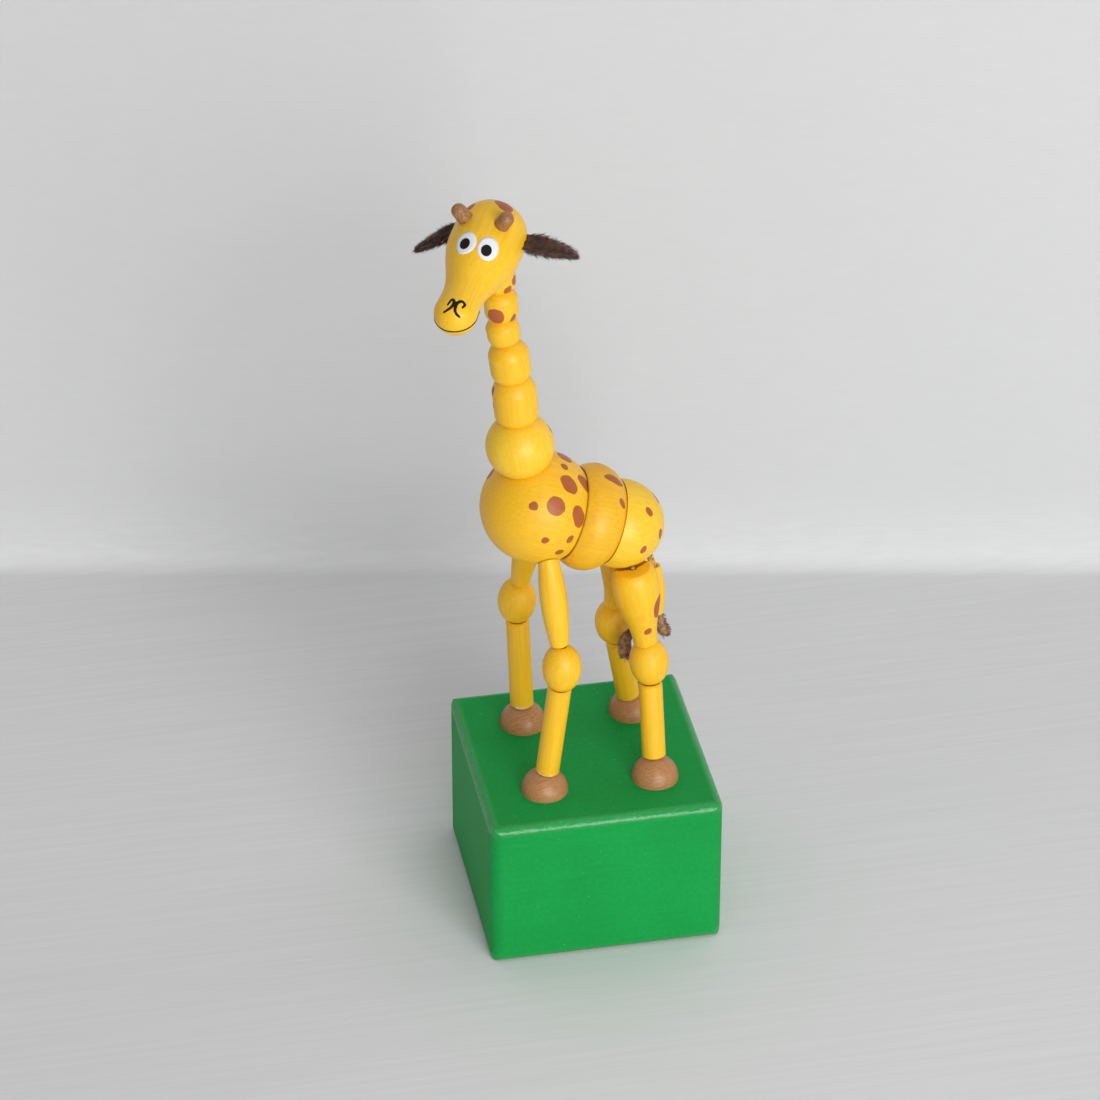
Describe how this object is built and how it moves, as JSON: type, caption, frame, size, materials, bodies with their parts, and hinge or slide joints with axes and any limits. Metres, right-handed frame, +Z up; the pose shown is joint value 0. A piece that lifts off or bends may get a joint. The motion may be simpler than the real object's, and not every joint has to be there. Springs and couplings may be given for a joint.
{
  "type": "push puppet",
  "caption": "Wooden push puppet: a strung giraffe on a block that droops when the sprung button underneath is pressed and stands up again when it is let go.",
  "frame": {"origin": "middle of the block's underside, on the table", "axes": "+Z up, the giraffe's chest faces -X, its left side is -Y"},
  "size_m": [0.071, 0.06, 0.207],
  "materials": {
    "green_paint": "painted, satin, edges rounded",
    "yellow_paint": "stained and lacquered, semi-gloss, brown spots",
    "brown_paint": "stained and lacquered, semi-gloss",
    "string": "twisted thread",
    "ear_fur": "short fur",
    "tail_yarn": "soft yarn",
    "spring_steel": "bright wire"
  },
  "bodies": {
    "block": {"base_block": "green_paint", "return_spring": "spring_steel", "hoof_front_left": "brown_paint", "hoof_front_right": "brown_paint", "hoof_rear_left": "brown_paint", "hoof_rear_right": "brown_paint"},
    "button": {"push_button": "green_paint", "string_front_left": "string", "string_front_right": "string", "string_rear_left": "string", "string_rear_right": "string"},
    "chest": {"chest_ball": "yellow_paint", "neck_string": "string", "spine_string": "string"},
    "belly": {"belly_bead": "yellow_paint"},
    "rump": {"rump_ball": "yellow_paint"},
    "tail": {"tail_string": "string", "tail_bead": "yellow_paint", "tail_tuft": "tail_yarn"},
    "neck_ball": {"neck_ball": "yellow_paint"},
    "neck_bead_1": {"neck_bead_1": "yellow_paint"},
    "neck_bead_2": {"neck_bead_2": "yellow_paint"},
    "neck_bead_3": {"neck_bead_3": "yellow_paint"},
    "neck_bead_4": {"neck_bead_4": "yellow_paint"},
    "throat": {"throat_bead": "yellow_paint"},
    "head": {"head": "yellow_paint", "horn_left": "brown_paint", "horn_right": "brown_paint", "ear_left": "ear_fur", "ear_right": "ear_fur"},
    "shin_front_left": {"shin_front_left": "yellow_paint"},
    "knee_front_left": {"knee_front_left": "yellow_paint"},
    "thigh_front_left": {"thigh_front_left": "yellow_paint"},
    "shin_front_right": {"shin_front_right": "yellow_paint"},
    "knee_front_right": {"knee_front_right": "yellow_paint"},
    "thigh_front_right": {"thigh_front_right": "yellow_paint"},
    "shin_rear_left": {"shin_rear_left": "yellow_paint"},
    "knee_rear_left": {"knee_rear_left": "yellow_paint"},
    "haunch_rear_left": {"haunch_rear_left": "yellow_paint"},
    "shin_rear_right": {"shin_rear_right": "yellow_paint"},
    "knee_rear_right": {"knee_rear_right": "yellow_paint"},
    "haunch_rear_right": {"haunch_rear_right": "yellow_paint"}
  },
  "joints": [
    {"name": "button_press", "type": "slide", "parent": "block", "child": "button", "axis": [0, 0, 1], "range_m": [0, 0.008], "stiffness_N_per_m": 400, "springref_m": -0.01, "deforming": ["return_spring", "string_front_left", "string_front_right", "string_rear_left", "string_rear_right", "neck_string", "spine_string"]},
    {"name": "ankle_front_left", "type": "hinge", "parent": "block", "child": "shin_front_left", "pos_m": [-0.01335, -0.0147, 0.042], "axis": [0, 1, 0], "range_deg": [0, 22], "stiffness_Nm_per_rad": 0.56, "springref_deg": -0.06},
    {"name": "knee_tilt_front_left", "type": "hinge", "parent": "shin_front_left", "child": "knee_front_left", "pos_m": [-0.00913, -0.01555, 0.07781], "axis": [0, 1, 0], "range_deg": [-15.25, 0], "stiffness_Nm_per_rad": 0.002},
    {"name": "knee_bend_front_left", "type": "hinge", "parent": "shin_front_left", "child": "thigh_front_left", "pos_m": [-0.0091, -0.0154, 0.0795], "axis": [0, 1, 0], "range_deg": [-30.5, 0], "stiffness_Nm_per_rad": 0.35, "springref_deg": 0.08},
    {"name": "ankle_front_right", "type": "hinge", "parent": "block", "child": "shin_front_right", "pos_m": [-0.01335, 0.0147, 0.042], "axis": [0, 1, 0], "range_deg": [-11.31, 0], "stiffness_Nm_per_rad": 0.014, "springref_deg": 0.02},
    {"name": "knee_tilt_front_right", "type": "hinge", "parent": "shin_front_right", "child": "knee_front_right", "pos_m": [-0.01467, 0.01575, 0.07811], "axis": [0, 1, 0], "range_deg": [0, 17.71], "stiffness_Nm_per_rad": 0.002},
    {"name": "knee_bend_front_right", "type": "hinge", "parent": "shin_front_right", "child": "thigh_front_right", "pos_m": [-0.0146, 0.0156, 0.0798], "axis": [0, 1, 0], "range_deg": [0, 35.42], "stiffness_Nm_per_rad": 0.0027, "springref_deg": -0.23},
    {"name": "ankle_rear_left", "type": "hinge", "parent": "block", "child": "shin_rear_left", "pos_m": [0.0152, -0.0147, 0.042], "axis": [0, 1, 0], "range_deg": [0, 30.06], "stiffness_Nm_per_rad": 0.023, "springref_deg": 0.11},
    {"name": "knee_tilt_rear_left", "type": "hinge", "parent": "shin_rear_left", "child": "knee_rear_left", "pos_m": [0.01479, -0.0084, 0.07162], "axis": [0, 1, 0], "range_deg": [-21.41, 0], "stiffness_Nm_per_rad": 0.002},
    {"name": "knee_bend_rear_left", "type": "hinge", "parent": "shin_rear_left", "child": "haunch_rear_left", "pos_m": [0.01465, -0.0082, 0.0733], "axis": [0, 1, 0], "range_deg": [-42.81, 0], "stiffness_Nm_per_rad": 0.008, "springref_deg": 0.34},
    {"name": "ankle_rear_right", "type": "hinge", "parent": "block", "child": "shin_rear_right", "pos_m": [0.0152, 0.0147, 0.042], "axis": [0, 1, 0], "range_deg": [-17.1, 0], "stiffness_Nm_per_rad": 0.024, "springref_deg": 0.21},
    {"name": "knee_tilt_rear_right", "type": "hinge", "parent": "shin_rear_right", "child": "knee_rear_right", "pos_m": [0.00979, 0.0115, 0.07131], "axis": [0, 1, 0], "range_deg": [0, 21.61], "stiffness_Nm_per_rad": 0.002},
    {"name": "knee_bend_rear_right", "type": "hinge", "parent": "shin_rear_right", "child": "haunch_rear_right", "pos_m": [0.0097, 0.0113, 0.073], "axis": [0, 1, 0], "range_deg": [0, 43.22], "stiffness_Nm_per_rad": 0.0083, "springref_deg": -0.17},
    {"name": "hip_front_left", "type": "hinge", "parent": "thigh_front_left", "child": "chest", "pos_m": [-0.0123, 0, 0.1181], "axis": [0, 1, 0], "range_deg": [0, 8.5], "stiffness_Nm_per_rad": 0.11, "springref_deg": -0.14},
    {"name": "waist", "type": "hinge", "parent": "chest", "child": "belly", "pos_m": [-0.0123, 0, 0.1181], "axis": [0, 1, 0], "range_deg": [0, 1], "stiffness_Nm_per_rad": 0.041, "springref_deg": -1.56},
    {"name": "rump_sag", "type": "hinge", "parent": "belly", "child": "rump", "pos_m": [-0.0123, 0, 0.1181], "axis": [0, 1, 0], "range_deg": [0, 1.5], "stiffness_Nm_per_rad": 0.023, "springref_deg": -1.52},
    {"name": "neck_lean", "type": "hinge", "parent": "chest", "child": "neck_ball", "pos_m": [-0.0123, 0, 0.1181], "axis": [0, 1, 0], "range_deg": [-8, 0], "stiffness_Nm_per_rad": 0.12, "springref_deg": 0.41},
    {"name": "neck_bend_1", "type": "hinge", "parent": "neck_ball", "child": "neck_bead_1", "pos_m": [-0.0166, 0, 0.1364], "axis": [0, 1, 0], "range_deg": [-13, 0], "stiffness_Nm_per_rad": 0.078, "springref_deg": 0.37},
    {"name": "neck_bend_2", "type": "hinge", "parent": "neck_bead_1", "child": "neck_bead_2", "pos_m": [-0.0179, 0, 0.1516], "axis": [0, 1, 0], "range_deg": [-13, 0], "stiffness_Nm_per_rad": 0.054, "springref_deg": 0.45},
    {"name": "neck_bend_3", "type": "hinge", "parent": "neck_bead_2", "child": "neck_bead_3", "pos_m": [-0.0192, 0, 0.1619], "axis": [0, 1, 0], "range_deg": [-13, 0], "stiffness_Nm_per_rad": 0.04, "springref_deg": 0.51},
    {"name": "neck_bend_4", "type": "hinge", "parent": "neck_bead_3", "child": "neck_bead_4", "pos_m": [-0.0206, 0, 0.1696], "axis": [0, 1, 0], "range_deg": [-13, 0], "stiffness_Nm_per_rad": 0.03, "springref_deg": 0.54},
    {"name": "neck_bend_5", "type": "hinge", "parent": "neck_bead_4", "child": "throat", "pos_m": [-0.0211, 0, 0.1777], "axis": [0, 1, 0], "range_deg": [-13, 0], "stiffness_Nm_per_rad": 0.02, "springref_deg": 0.74},
    {"name": "head_turn", "type": "hinge", "parent": "throat", "child": "head", "pos_m": [-0.0216, 0, 0.1845], "axis": [-0.0733, 0, 0.9973], "range_deg": [-120, 30], "deforming": ["neck_string"]},
    {"name": "tail_swing", "type": "hinge", "parent": "rump", "child": "tail", "pos_m": [0.0155, 0, 0.1021], "axis": [0, 1, 0], "range_deg": [-35, 12]}
  ],
  "couplings": [
    {"joint": "ankle_front_left", "follows": "button_press", "rad_per_m": 47.996},
    {"joint": "knee_tilt_front_left", "follows": "button_press", "rad_per_m": -33.27},
    {"joint": "knee_bend_front_left", "follows": "button_press", "rad_per_m": -66.54},
    {"joint": "ankle_front_right", "follows": "button_press", "rad_per_m": -24.666},
    {"joint": "knee_tilt_front_right", "follows": "button_press", "rad_per_m": 38.635},
    {"joint": "knee_bend_front_right", "follows": "button_press", "rad_per_m": 77.272},
    {"joint": "ankle_rear_left", "follows": "button_press", "rad_per_m": 65.574},
    {"joint": "knee_tilt_rear_left", "follows": "button_press", "rad_per_m": -46.702},
    {"joint": "knee_bend_rear_left", "follows": "button_press", "rad_per_m": -93.405},
    {"joint": "ankle_rear_right", "follows": "button_press", "rad_per_m": -37.31},
    {"joint": "knee_tilt_rear_right", "follows": "button_press", "rad_per_m": 47.143},
    {"joint": "knee_bend_rear_right", "follows": "button_press", "rad_per_m": 94.286},
    {"joint": "hip_front_left", "follows": "button_press", "rad_per_m": 18.544},
    {"joint": "waist", "follows": "button_press", "rad_per_m": 2.1816},
    {"joint": "rump_sag", "follows": "button_press", "rad_per_m": 3.2725},
    {"joint": "neck_lean", "follows": "button_press", "rad_per_m": -17.453},
    {"joint": "neck_bend_1", "follows": "button_press", "rad_per_m": -28.361},
    {"joint": "neck_bend_2", "follows": "button_press", "rad_per_m": -28.361},
    {"joint": "neck_bend_3", "follows": "button_press", "rad_per_m": -28.361},
    {"joint": "neck_bend_4", "follows": "button_press", "rad_per_m": -28.361},
    {"joint": "neck_bend_5", "follows": "button_press", "rad_per_m": -28.361}
  ]
}
